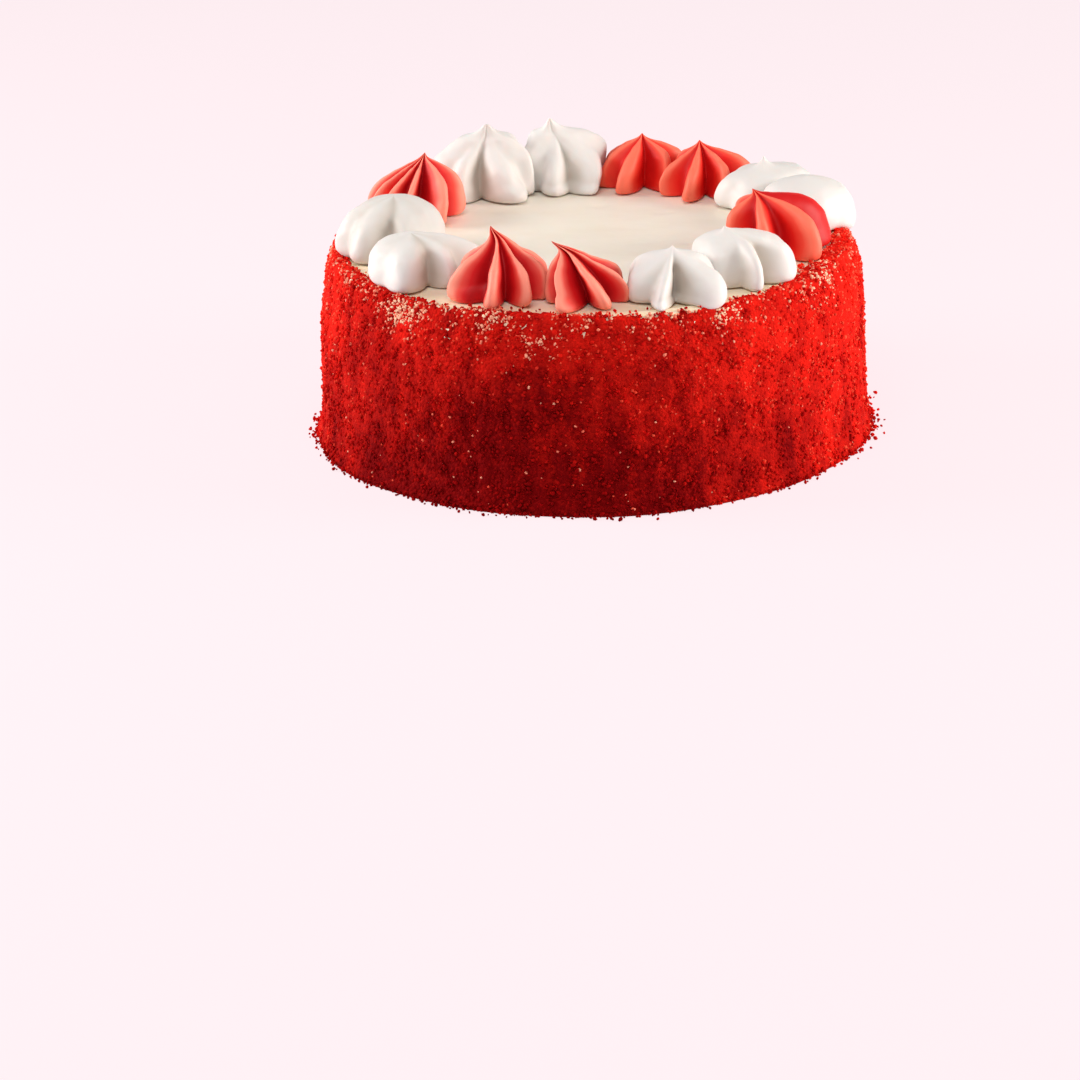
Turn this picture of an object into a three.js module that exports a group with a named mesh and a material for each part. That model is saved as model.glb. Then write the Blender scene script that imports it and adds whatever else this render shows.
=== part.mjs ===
// A round red velvet cake: a solid cake under a coat of red crumbs, a disc of
// pale cream on top, and a ring of star-piped swirls, red and white by turns.
// Millimetres, +Z up, with the origin at the middle of the flat underside.

import * as THREE from 'three';

// Driving dimensions of the cake
const cakeRadius = 100;       // crumb coat at half height, an 8 inch cake
const creamLevel = 70;        // top of the cream above the underside
const wallTaper = 0.6;        // how far the wall leans in from half height to the top
const footFlare = 2.7;        // crumbs that gather round the foot
const footFade = 5;           // height in which that flare dies away
const shoulderDrop = 13;      // height of the rounded shoulder
const shoulderCurve = 1.5;    // 1 is a plain slope, 2 a round shoulder
const rimRise = 0.9;          // crumbs that stand above the cream at the rim
const rimInnerRadius = 94.1;  // where the crumbs end and the cream begins
const rimWidth = 0.7;         // from there to the top of the rim
const crumbRelief = 0.9;      // how far a clump of crumbs stands in or out
const swellRelief = 0.7;      // slow unevenness of the wall
const leftPinch = 2.4;        // the wall draws in on the left
const pinchFrom = 42;         // between these two heights
const pinchTo = 58;
const ringStep = 4.2;         // height between two rings of crumb clumps
const clumpsAround = 144;     // clumps of crumbs in one ring

// Driving dimensions of the cream
const creamRadius = 93.6;
const creamThickness = 5;
const creamEdge = 1.1;        // rounding of the cream's upper edge
const creamDip = 0.35;        // shallow hollows left by the spatula
const creamFlatFrom = 60;     // radius beyond which the cream is level
const creamSides = 72;

// Driving dimensions of the piping
const gap = 0.3;              // clearance between pieces that touch
const pressGap = 0.4;         // clearance between two swirls pressed together
const columnsPerRib = 4;
const ribSkew = 0.07;         // one side of each rib is steeper than the other
const redRibPower = 1.1;      // under 1 gives round ribs and narrow folds
const whiteRibPower = 0.8;
const swirlTwist = 0.2;       // turn of the ribs from base to tip, in radians
const calmFrom = 0.5;         // white folds grow shallow above this share of the height
const calmTo = 0.95;
const calmShare = 0.9;
const raiseFrom = 0.2;        // a raised side lifts between these shares of the height
const raiseTo = 0.6;
const facingPower = 1.5;      // how quickly the front outline gives way to the back's
const overhangFrom = 3.2;     // above this height a swirl may hang over the crumbs,
const overhangTo = 9.2;       // and from this height on by the full overhang
const rimOverhang = 3.8;

// Half outlines of a swirl, from slender over full to domed: [share of its
// radius, share of its height]
const outlines = [
  [
    [0.91, 0], [1, 0.08], [1.01, 0.2], [0.93, 0.34], [0.71, 0.5],
    [0.42, 0.62], [0.21, 0.75], [0.11, 0.86], [0.055, 0.93], [0, 1],
  ],
  [
    [0.93, 0], [1.01, 0.09], [1.03, 0.24], [0.99, 0.43], [0.91, 0.58],
    [0.77, 0.7], [0.52, 0.8], [0.2, 0.88], [0.06, 0.94], [0, 1],
  ],
  [
    [0.9, 0], [1, 0.1], [1.03, 0.27], [0.99, 0.47], [0.88, 0.66],
    [0.72, 0.8], [0.52, 0.91], [0.3, 0.97], [0.12, 0.995], [0, 1],
  ],
];

// The swirls in their order round the rim, from the front to the right. x and y
// are the centre and lean is where the tip lies from it. ribs are the directions
// of the ribs in degrees, folds how deep the fold after each rib is, as a share of
// the radius, skews where it lies, and gains how far each rib reaches. fullness
// picks the outline, 0 to 2, and front another one for the side that faces the
// photo. raised is a direction and a height in mm, push how far the swirl presses
// its neighbours back, over how much further it does so for each mm of height, and
// flares are low bulges of the foot: direction, half width, reach, share of height.
const swirls = [
  { name: 'swirl_red_1', x: -31.5, y: -67.5, radius: 19.3, height: 26, fullness: 0.1,
    lean: [-1, 0], ribs: [-166, -103, -60, -18, 30, 80, 135],
    folds: [0.34, 0.38, 0.5, 0.5, 0.5, 0.5, 0.5], flares: [[-138, 16, 5, 0.22]] },
  { name: 'swirl_red_2', x: -1.6, y: -73.5, radius: 17.4, height: 21.7, fullness: 0.25,
    lean: [-9, 0], ribs: [-165, -116, -64, -15, 40, 90, 140], twist: -0.45,
    folds: [0.45, 0.34, 0.45, 0.5, 0.5, 0.5, 0.5], gains: [0.9, 1, 1, 1.05, 1, 1, 1],
    flares: [[-122, 20, 3.5, 0.25]] },
  { name: 'swirl_white_1', x: 28, y: -72, radius: 18.5, height: 18, fullness: 0.9, front: 0.2,
    lean: [0, 0], ribs: [-165, -106, -38, 20, 75, 130],
    folds: [0.72, 0.3, 0.85, 0.85, 0.85, 0.85], gains: [1, 0.98, 1.16, 1, 1, 1],
    skews: [0.65, 0.3, 0.6, 0.5, 0.5, 0.5], flares: [[-90, 20, 4, 0.15]] },
  { name: 'swirl_white_2', x: 54, y: -53, radius: 19.3, height: 19, fullness: 1.1, front: 0.7,
    lean: [-6, 0], ribs: [-150, -78, -20, 35, 80, 140], raised: [-20, 2],
    folds: [0.72, 0.5, 0.92, 0.92, 0.9, 0.9], gains: [1.04, 1.04, 1, 1, 1, 1],
    skews: [0.75, 0.28, 0.5, 0.5, 0.5, 0.5] },
  { name: 'swirl_red_3', x: 68.5, y: -21.5, radius: 20, height: 23.5, fullness: 0.9,
    lean: [-9, 0], ribs: [-172, -112, -50, 25, 75, 130], raised: [25, 3],
    folds: [0.5, 0.45, 0.38, 0.6, 0.5, 0.5], gains: [0.92, 0.97, 1.05, 1.06, 1, 1],
    skews: [0.5, 0.35, 0.45, 0.5, 0.5, 0.5] },
  { name: 'swirl_white_3', x: 80, y: 15, radius: 18.5, height: 17.5, fullness: 1.7,
    lean: [0, 0], ribs: [-155, -90, -20, 30, 80, 140],
    folds: [0.9, 0.92, 0.92, 0.9, 0.85, 0.85] },
  { name: 'swirl_white_4', x: 66, y: 42.5, radius: 18.8, height: 16.5, fullness: 1.3,
    lean: [0, 0], ribs: [-175, -120, -60, -10, 50, 115], raised: [-5, 2.5],
    folds: [0.88, 0.8, 0.92, 0.92, 0.85, 0.85] },
  { name: 'swirl_red_4', x: 43.5, y: 61, radius: 19, height: 20, fullness: 0.5,
    lean: [-1, 0], ribs: [-165, -112, -60, -5, 50, 95, 140], raised: [-5, 2], push: 1.5,
    folds: [0.55, 0.34, 0.5, 0.6, 0.5, 0.5, 0.5], gains: [1, 1.03, 1.02, 1.1, 1, 1, 1] },
  { name: 'swirl_red_5', x: 20, y: 73.5, radius: 18.6, height: 20, fullness: 0.6,
    lean: [1, 0], ribs: [-175, -118, -48, 5, 50, 95, 140], raised: [-10, 1.5], push: 3.2,
    folds: [0.6, 0.3, 0.6, 0.6, 0.5, 0.5, 0.5], gains: [1.05, 1.02, 1.12, 1, 1, 1, 1] },
  { name: 'swirl_white_5', x: -8.5, y: 74.5, radius: 19, height: 26, fullness: 1.6, front: 0.1,
    lean: [-5.5, 0], ribs: [-165, -108, -45, 12, 65, 125], raised: [10, 2],
    folds: [0.78, 0.5, 0.85, 0.9, 0.85, 0.85], gains: [1.12, 0.95, 1.05, 1.18, 1.05, 1],
    skews: [0.5, 0.35, 0.5, 0.5, 0.5, 0.5], flares: [[-80, 32, 4, 0.16]], over: 0.35 },
  { name: 'swirl_white_6', x: -40.5, y: 65.5, radius: 19.5, height: 26, fullness: 1.7, front: 0,
    lean: [1.5, 0], ribs: [-170, -118, -50, -2, 50, 125], raised: [-175, 2], twist: -0.25,
    folds: [0.8, 0.45, 0.85, 0.9, 0.85, 0.85], gains: [1.1, 0.95, 1.04, 1.15, 1, 1],
    skews: [0.6, 0.35, 0.5, 0.5, 0.5, 0.5], flares: [[-45, 18, 4, 0.25]], over: 0.35 },
  { name: 'swirl_red_6', x: -65.6, y: 38.5, radius: 18.3, height: 24, fullness: 0.6,
    lean: [4.5, 0], ribs: [175, -158, -132, -105, -62, -5, 50, 115], raised: [-8, 3],
    folds: [0.6, 0.6, 0.55, 0.42, 0.6, 0.7, 0.5, 0.5], gains: [1, 1, 1, 0.95, 1.22, 1.05, 1, 1] },
  { name: 'swirl_white_7', x: -72, y: -12, radius: 20, height: 20.5, fullness: 2,
    lean: [1, 3], ribs: [-175, -132, -75, -25, 45, 115],
    folds: [0.88, 0.68, 0.96, 0.96, 0.9, 0.9], gains: [1, 1.03, 1, 1, 1, 1],
    skews: [0.5, 0.62, 0.5, 0.5, 0.5, 0.5] },
  { name: 'swirl_white_8', x: -60.5, y: -46.5, radius: 18.3, height: 16.5, fullness: 1.8,
    lean: [-3, 3], ribs: [-170, -110, -48, 8, 80, 145], raised: [-140, 2],
    folds: [0.92, 0.25, 0.7, 0.9, 0.9, 0.9], gains: [0.98, 1.08, 0.86, 1.3, 1, 1],
    skews: [0.5, 0.66, 0.5, 0.5, 0.5, 0.5] },
];

const crumbRed = new THREE.MeshStandardMaterial({ color: 0xc01210, roughness: 0.85, metalness: 0 });
const creamIvory = new THREE.MeshStandardMaterial({ color: 0xf3e8d7, roughness: 0.5, metalness: 0 });
const swirlRed = new THREE.MeshStandardMaterial({ color: 0xe23c32, roughness: 0.45, metalness: 0 });
const swirlWhite = new THREE.MeshStandardMaterial({ color: 0xf4f1ea, roughness: 0.5, metalness: 0 });

// A repeatable source of numbers from 0 to 1
function seededRandom(seed) {
  let state = seed;
  return () => {
    state = (state * 16807) % 2147483647;
    return state / 2147483647;
  };
}

// Turns a half outline round the upright axis
function turnOutline(points, sides) {
  const outline = points.map(([radius, height]) => new THREE.Vector2(radius, height));
  return new THREE.LatheGeometry(outline, sides).rotateX(Math.PI / 2);
}

function smoothStep(low, high, value) {
  return THREE.MathUtils.smoothstep(value, low, high);
}

// Radius of the crumb-coated wall at a height above the underside
function wallRadius(height) {
  const taper = wallTaper * (1 - (2 * height) / creamLevel);
  return cakeRadius + taper + footFlare * Math.exp(-height / footFade);
}

// The body's half outline: underside, wall, shoulder, rim, and the seat of the cream
function bodyOutline() {
  const wallTop = creamLevel - shoulderDrop;
  const points = [[0, 0], [wallRadius(0), 0]];
  for (let height = ringStep / 2; height < wallTop; height += ringStep) {
    points.push([wallRadius(height), height]);
  }
  const rimTopRadius = rimInnerRadius + rimWidth;
  for (const share of [0.1, 0.4, 0.7, 1]) {
    const reach = (wallRadius(wallTop) - rimTopRadius) * (1 - share ** shoulderCurve);
    points.push([rimTopRadius + reach, wallTop + (shoulderDrop + rimRise) * share]);
  }
  const seatLevel = creamLevel - creamThickness - gap;
  points.push([rimInnerRadius, creamLevel], [rimInnerRadius, seatLevel], [0, seatLevel]);
  return points;
}

// Pushes the wall's points in and out as clumps of crumbs, and leaves the
// underside and the seat of the cream plain
function cakeBody() {
  const points = bodyOutline();
  const geometry = turnOutline(points, clumpsAround);
  const position = geometry.attributes.position;
  const random = seededRandom(4217);
  const seatPoints = 3;
  const lastCrumbRow = points.length - seatPoints - 1;
  const relief = [];
  for (let column = 0; column < clumpsAround; column += 1) {
    relief.push(points.map(() => [2 * random() - 1, 2 * random() - 1]));
  }
  for (let column = 0; column <= clumpsAround; column += 1) {
    const angle = (column / clumpsAround) * 2 * Math.PI;
    const onLeft = (0.5 - 0.5 * Math.sin(angle)) ** 2;
    for (let row = 1; row <= lastCrumbRow; row += 1) {
      const index = column * points.length + row;
      const [outward, upward] = relief[column % clumpsAround][row];
      const height = position.getZ(index);
      const reach = Math.hypot(position.getX(index), position.getY(index));
      const outsideRim = Math.min(1, (reach - rimInnerRadius) / (cakeRadius - rimInnerRadius));
      const swell = 0.6 * Math.sin(5 * angle + 1) * Math.cos(height / 19)
        + 0.4 * Math.sin(11 * angle) * Math.cos(height / 11);
      const pinch = leftPinch * onLeft * outsideRim * smoothStep(pinchFrom, pinchTo, height);
      const freedom = row === lastCrumbRow ? 0.4 : 1;
      const push = freedom * (crumbRelief * outward + swellRelief * swell) - pinch;
      position.setX(index, position.getX(index) * (1 + push / reach));
      position.setY(index, position.getY(index) * (1 + push / reach));
      if (row > 1) {
        position.setZ(index, height + 0.7 * crumbRelief * upward);
      }
    }
  }
  return geometry;
}

// A flat disc with a rounded edge and shallow hollows in its middle
function creamTop() {
  const low = creamLevel - creamThickness;
  const outline = [
    [0, low], [creamRadius, low],
    [creamRadius, creamLevel - creamEdge], [creamRadius - creamEdge, creamLevel],
  ];
  for (const share of [0.9, 0.45, 0]) {
    outline.push([creamFlatFrom * share, creamLevel]);
  }
  const geometry = turnOutline(outline, creamSides);
  const position = geometry.attributes.position;
  for (let index = 0; index < position.count; index += 1) {
    const x = position.getX(index);
    const y = position.getY(index);
    const height = position.getZ(index);
    if (height > low + creamThickness / 2 && Math.hypot(x, y) < creamFlatFrom) {
      const hollow = 0.5 + 0.5 * Math.sin(x / 17 + 0.8) * Math.cos(y / 14);
      position.setZ(index, height - creamDip * hollow);
    }
  }
  return geometry;
}

// How far a swirl may reach along a direction before it meets its neighbour
function reachToNeighbour(swirl, neighbour, axis, direction, height) {
  const across = new THREE.Vector2(neighbour.x - swirl.x, neighbour.y - swirl.y);
  const distance = across.length();
  across.normalize();
  const slope = direction.dot(across);
  if (slope < 0.01) {
    return Infinity;
  }
  const largerBy = (swirl.radius ** 2 - neighbour.radius ** 2) / (2 * distance);
  const pushedBy = (swirl.push ?? 0) - (neighbour.push ?? 0);
  const tiltedBy = ((swirl.over ?? 0) - (neighbour.over ?? 0)) * height;
  const border = distance / 2 + largerBy + pushedBy + tiltedBy - pressGap / 2;
  const passed = (axis.x - swirl.x) * across.x + (axis.y - swirl.y) * across.y;
  return (border - passed) / slope;
}

// How far a swirl may reach before it meets the crumbs of the rim
function reachToRim(axis, direction, height) {
  const limit = creamRadius - gap + rimOverhang * smoothStep(overhangFrom, overhangTo, height);
  const along = axis.dot(direction);
  return Math.sqrt(along ** 2 - axis.lengthSq() + limit ** 2) - along;
}

// A point of the half outline for a fullness from 0 to 2
function outlinePoint(step, fullness) {
  const lower = Math.min(Math.floor(fullness), outlines.length - 2);
  const [radius, height] = outlines[lower][step];
  const [nextRadius, nextHeight] = outlines[lower + 1][step];
  return [
    THREE.MathUtils.lerp(radius, nextRadius, fullness - lower),
    THREE.MathUtils.lerp(height, nextHeight, fullness - lower),
  ];
}

// Where a column stands between two ribs: its direction in radians, how near to a
// crest it is from 0 to 1, the reach of the nearest rib and the depth of the fold
function ribAt(swirl, phase) {
  const count = swirl.ribs.length;
  const rib = Math.floor(phase);
  const step = phase - rib;
  const turnTo = swirl.ribs[(rib + 1) % count] - swirl.ribs[rib];
  const degrees = swirl.ribs[rib] + step * THREE.MathUtils.euclideanModulo(turnTo, 360);
  const lowest = swirl.skews?.[rib] ?? 0.5 + ribSkew;
  const fromCrest = step < lowest ? step / lowest : (1 - step) / (1 - lowest);
  const power = swirl.name.includes('red') ? redRibPower : whiteRibPower;
  return {
    angle: THREE.MathUtils.degToRad(degrees),
    crest: (0.5 + 0.5 * Math.cos(Math.PI * fromCrest)) ** power,
    gain: swirl.gains?.[step < lowest ? rib : (rib + 1) % count] ?? 1,
    fold: swirl.folds[rib],
  };
}

// How far the low bulges of the foot push out at a direction and share of the height
function flareReach(swirl, angle, share) {
  let reach = 0;
  for (const [towards, halfWidth, flare, top] of swirl.flares ?? []) {
    const turned = THREE.MathUtils.radToDeg(angle) - towards;
    const apart = THREE.MathUtils.euclideanModulo(turned + 180, 360) - 180;
    const bead = Math.sqrt(Math.max(0, 1 - (share / top) ** 2));
    reach += flare * bead * Math.exp(-((apart / halfWidth) ** 2));
  }
  return reach;
}

// A star-piped swirl: its outline turned round a leaning axis and drawn in between
// uneven ribs. It is pressed flat where it meets its neighbours.
function pipedSwirl(swirl, order) {
  const steps = outlines[0].length;
  const columns = swirl.ribs.length * columnsPerRib;
  const geometry = turnOutline([[0, 0], ...outlines[0]], columns);
  const neighbours = [
    swirls[(order + 1) % swirls.length],
    swirls[(order + swirls.length - 1) % swirls.length],
  ];
  const calm = swirl.name.includes('white') ? calmShare : 0;
  const position = geometry.attributes.position;
  for (let column = 0; column <= columns; column += 1) {
    const { angle, crest, gain, fold } = ribAt(swirl, (column % columns) / columnsPerRib);
    const facing = (0.5 - 0.5 * Math.sin(angle)) ** facingPower;
    const fullness = THREE.MathUtils.lerp(swirl.fullness, swirl.front ?? swirl.fullness, facing);
    const first = column * (steps + 1);
    position.setXYZ(first, swirl.x, swirl.y, creamLevel + gap);
    for (let step = 0; step < steps; step += 1) {
      const [radius, share] = outlinePoint(step, fullness);
      const turned = angle + (swirl.twist ?? swirlTwist) * share;
      const direction = new THREE.Vector2(Math.cos(turned), Math.sin(turned));
      const axis = new THREE.Vector2(
        swirl.x + swirl.lean[0] * share ** 2,
        swirl.y + swirl.lean[1] * share ** 2,
      );
      const [raisedTo, lift] = swirl.raised ?? [0, 0];
      const raised = Math.max(0, Math.cos(turned - THREE.MathUtils.degToRad(raisedTo)));
      const height = swirl.height * share
        + lift * raised * radius * smoothStep(raiseFrom, raiseTo, share);
      const depth = THREE.MathUtils.lerp(fold, 1, calm * smoothStep(calmFrom, calmTo, share));
      const ribbed = swirl.radius * radius * THREE.MathUtils.lerp(depth, gain, crest);
      const reach = step === steps - 1 ? 0 : Math.min(
        ribbed + flareReach(swirl, turned, share),
        reachToRim(axis, direction, height),
        ...neighbours.map((neighbour) => reachToNeighbour(swirl, neighbour, axis, direction, height)),
      );
      position.setXYZ(
        first + step + 1,
        axis.x + direction.x * reach,
        axis.y + direction.y * reach,
        creamLevel + gap + height,
      );
    }
  }
  return geometry;
}

function addPiece(group, name, geometry, material) {
  const mesh = new THREE.Mesh(geometry, material);
  mesh.name = name;
  group.add(mesh);
}

const cake = new THREE.Group();
addPiece(cake, 'cake_body', cakeBody(), crumbRed);
addPiece(cake, 'cream_top', creamTop(), creamIvory);
swirls.forEach((swirl, order) => {
  const material = swirl.name.includes('red') ? swirlRed : swirlWhite;
  addPiece(cake, swirl.name, pipedSwirl(swirl, order), material);
});

export default cake;
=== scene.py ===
# Red velvet cake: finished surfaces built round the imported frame
import math

import bpy
import numpy as np
from mathutils import Matrix, Vector, noise


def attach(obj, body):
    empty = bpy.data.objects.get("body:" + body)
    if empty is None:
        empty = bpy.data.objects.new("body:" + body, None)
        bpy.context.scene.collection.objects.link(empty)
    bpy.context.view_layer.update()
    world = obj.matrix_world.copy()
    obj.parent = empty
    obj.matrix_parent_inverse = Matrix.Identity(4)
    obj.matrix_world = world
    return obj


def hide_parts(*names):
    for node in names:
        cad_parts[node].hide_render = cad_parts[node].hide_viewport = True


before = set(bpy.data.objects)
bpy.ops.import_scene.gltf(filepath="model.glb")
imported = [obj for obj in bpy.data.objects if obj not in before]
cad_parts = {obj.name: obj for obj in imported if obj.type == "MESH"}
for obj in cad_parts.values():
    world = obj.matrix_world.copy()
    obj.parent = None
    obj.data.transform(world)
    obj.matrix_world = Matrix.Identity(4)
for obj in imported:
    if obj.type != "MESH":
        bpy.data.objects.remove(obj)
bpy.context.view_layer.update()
mm = 0.001  # the dictionaries below are in millimetres and degrees; 0 is right, -90 the front

cake = {
    "radius": 100,          # crumb coat at half height
    "creamLevel": 70,
    "wallTaper": 0.6,
    "footFlare": 2.7,
    "footFade": 5,
    "shoulderDrop": 13,
    "shoulderCurve": 1.5,
    "shoulderLength": 1.1,  # along its slope, as a share of its drop
    "rimRadius": 94.8,
    "rimHeight": 2,         # what lies inside the rim and this far under the cream is top
    "rollIn": 2.4,          # the coat rolls over the rim onto the flat top
    "rollRise": 0.5,
    "rollSteps": 4,
    "flatRings": (3.4, 4.8, 6.2, 7.6, 9, 10.4, 12),  # how far in from the rim they lie
    "leftPinch": 2.4,       # how far the wall is drawn in on the left, and the heights where
    "pinchFrom": 42,        # that starts and is full
    "pinchTo": 58,
    "waves": [(0.6, 5, 1, 19), (0.4, 11, 0, 11)],  # depth, count, shift, scale in height
    "waveShare": 0.7,
    "waveFrom": 94.1,       # the waves start here and are full this width further out
    "waveWidth": 5.9,
}


def deselectAll():
    if bpy.context.mode != "OBJECT":
        bpy.ops.object.mode_set(mode="OBJECT")
    bpy.ops.object.select_all(action="DESELECT")


def addObject(name, data):
    holder = bpy.data.objects.new(name, data)
    bpy.context.scene.collection.objects.link(holder)
    return holder


def smoothStep(low, high, value):
    share = np.clip((np.asarray(value, float) - low) / (high - low), 0, 1)
    return share * share * (3 - 2 * share)


def readPoints(piece):
    points = np.empty(len(piece.data.vertices) * 3)
    piece.data.vertices.foreach_get("co", points)
    return points.reshape(-1, 3) / mm


def readNormals(piece):
    normals = np.empty(len(piece.data.vertices) * 3)
    piece.data.vertices.foreach_get("normal", normals)
    return normals.reshape(-1, 3)


def writePoints(piece, points):
    piece.data.vertices.foreach_set("co", (points * mm).ravel())
    piece.data.update()


def writeValues(mesh, name, values):  # one for each corner, which a finish reads by name
    attribute = mesh.attributes.new(name, "FLOAT", "POINT")
    attribute.data.foreach_set("value", values)


def directionOf(points):
    return np.arctan2(points[:, 1], points[:, 0])


def reachOf(points):
    return np.hypot(points[:, 0], points[:, 1])


def degreesApart(first, second):
    return np.abs((first - second + 180) % 360 - 180)


def grain(points, size, seed):  # smooth noise from -1 to 1, with lumps of that size
    offset = Vector((seed * 17.3, seed * 5.9, 3.1))
    return np.array([noise.noise(Vector(p) + offset) for p in points / np.asarray(size, float)])


def grains(points, layers, firstSeed=0):  # layers of it, each as depth, size and seed
    return sum(depth * grain(points, size, firstSeed + seed) for depth, size, seed in layers)


# Finishes

def linear(red, green, blue):  # 0 to 255 as seen on screen, to the shader's own scale
    def channel(value):
        value = value / 255
        return value / 12.92 if value <= 0.04045 else ((value + 0.055) / 1.055) ** 2.4
    return (channel(red), channel(green), channel(blue), 1)


def newFinish(name):
    finish = bpy.data.materials.new(name)
    finish.use_nodes = True
    nodes = finish.node_tree.nodes
    return finish, nodes, finish.node_tree.links, nodes["Principled BSDF"]


def feed(links, target, value):  # links a socket, and sets a plain value
    if isinstance(value, bpy.types.NodeSocket):
        links.new(value, target)
    else:
        target.default_value = value


def readValues(nodes, name):
    attribute = nodes.new("ShaderNodeAttribute")
    attribute.attribute_name = name
    return attribute.outputs["Fac"]


def objectNoise(nodes, links, scale, detail, stretch=(1, 1, 1)):
    coordinate = nodes.new("ShaderNodeTexCoord")
    mapping = nodes.new("ShaderNodeMapping")
    mapping.inputs["Scale"].default_value = stretch
    texture = nodes.new("ShaderNodeTexNoise")
    texture.inputs["Scale"].default_value = scale
    texture.inputs["Detail"].default_value = detail
    links.new(coordinate.outputs["Object"], mapping.inputs["Vector"])
    links.new(mapping.outputs["Vector"], texture.inputs["Vector"])
    return texture.outputs["Fac"]


def calculate(nodes, links, operation, *values):
    result = nodes.new("ShaderNodeMath")
    result.operation = operation
    for target, value in zip(result.inputs, values):
        feed(links, target, value)
    return result.outputs[0]


def colourRamp(nodes, links, source, stops):
    ramp = nodes.new("ShaderNodeValToRGB")
    while len(ramp.color_ramp.elements) < len(stops):
        ramp.color_ramp.elements.new(0.5)
    for element, (position, colour) in zip(ramp.color_ramp.elements, stops):
        element.position = position
        element.color = colour
    links.new(source, ramp.inputs["Fac"])
    return ramp.outputs["Color"]


def mixColours(nodes, links, share, first, second, blend="MIX"):
    mix = nodes.new("ShaderNodeMix")
    mix.data_type = "RGBA"
    mix.blend_type = blend
    for socket, value in (("Factor_Float", share), ("A_Color", first), ("B_Color", second)):
        feed(links, next(i for i in mix.inputs if i.identifier == socket), value)
    return next(o for o in mix.outputs if o.identifier == "Result_Color")


def addBump(nodes, links, shader, heights, strength, depth, hollow=False):
    bump = nodes.new("ShaderNodeBump")
    bump.invert = hollow
    bump.inputs["Strength"].default_value = strength
    bump.inputs["Distance"].default_value = depth * mm
    links.new(heights, bump.inputs["Height"])
    links.new(bump.outputs["Normal"], shader.inputs["Normal"])


def packedCells(nodes, links, scale):  # distance to a packed crumb's middle, and a value for each
    coordinate = nodes.new("ShaderNodeTexCoord")
    cells = nodes.new("ShaderNodeTexVoronoi")
    cells.inputs["Scale"].default_value = scale
    links.new(coordinate.outputs["Object"], cells.inputs["Vector"])
    split = nodes.new("ShaderNodeSeparateColor")
    links.new(cells.outputs["Color"], split.inputs["Color"])
    return cells.outputs["Distance"], split.outputs["Red"]


def crumbFinish(name, dark, light, packed=0):  # packed is the scale of crumbs drawn in the coat
    finish, nodes, links, shader = newFinish(name)
    # tone: random tone, and on the red crumbs and coat also the wall's painted shade
    share = readValues(nodes, "tone")
    if packed:
        varied = 0.24
        distance, value = packedCells(nodes, links, packed)
        share = calculate(nodes, links, "MULTIPLY_ADD", value, varied, share)
        share = calculate(nodes, links, "SUBTRACT", share, varied / 2)
        addBump(nodes, links, shader, distance, strength=0.6, depth=0.8, hollow=True)
    else:
        pores = objectNoise(nodes, links, scale=2200, detail=3)
        addBump(nodes, links, shader, pores, strength=0.5, depth=0.3)
    perCrumb = colourRamp(nodes, links, share, [(0, dark), (1, light)])
    speckle = objectNoise(nodes, links, scale=900, detail=3)
    shade = colourRamp(nodes, links, speckle, [(0.3, (0.88, 0.8, 0.8, 1)), (0.7, (1, 1, 1, 1))])
    links.new(mixColours(nodes, links, 1.0, perCrumb, shade, "MULTIPLY"), shader.inputs["Base Color"])
    shader.inputs["Roughness"].default_value = 0.9
    shader.inputs["Specular IOR Level"].default_value = 0.05
    return finish


def creamFinish():
    finish, nodes, links, shader = newFinish("ivoryCream")
    slow = objectNoise(nodes, links, scale=28, detail=3, stretch=(1, 1.6, 1))
    tint = colourRamp(nodes, links, slow, [
        (0.3, linear(237, 226, 209)), (0.7, linear(243, 235, 222)),
    ])
    # painted warm shade and bounce light on the cream near the rim, under the swirls' feet
    warmShaded = mixColours(nodes, links, readValues(nodes, "rim"), tint, linear(246, 221, 184))
    links.new(warmShaded, shader.inputs["Base Color"])
    shader.inputs["Roughness"].default_value = 0.5
    shader.inputs["Specular IOR Level"].default_value = 0.4
    shader.inputs["Subsurface Weight"].default_value = 0.25
    shader.inputs["Subsurface Radius"].default_value = (1, 0.6, 0.35)
    shader.inputs["Subsurface Scale"].default_value = 2.5 * mm
    strokes = objectNoise(nodes, links, scale=160, detail=4, stretch=(1, 2.5, 1))
    addBump(nodes, links, shader, strokes, strength=0.25, depth=0.4)
    return finish


def pipingFinish(name, tones, glow, roughness):  # tones run from painted shade in a fold's depth to a painted highlight on its crest
    finish, nodes, links, shader = newFinish(name)
    cloudy = 0.3
    clouds = objectNoise(nodes, links, scale=90, detail=2)
    depth = calculate(nodes, links, "MULTIPLY_ADD", clouds, cloudy, readValues(nodes, "fold"))
    stops = [(cloudy / 2 + place, tone) for place, tone in zip((0, 0.3, 0.62, 0.85), tones)]
    links.new(colourRamp(nodes, links, depth, stops), shader.inputs["Base Color"])
    shader.inputs["Roughness"].default_value = roughness
    shader.inputs["Specular IOR Level"].default_value = 0.28
    shader.inputs["Subsurface Weight"].default_value = glow
    shader.inputs["Subsurface Radius"].default_value = (1, 0.45, 0.35)
    shader.inputs["Subsurface Scale"].default_value = 1.2 * mm
    pores = objectNoise(nodes, links, scale=420, detail=3)
    addBump(nodes, links, shader, pores, strength=0.2, depth=0.25)
    return finish


# painted light on the piping: shade in the folds up to a highlight on the crests
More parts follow.
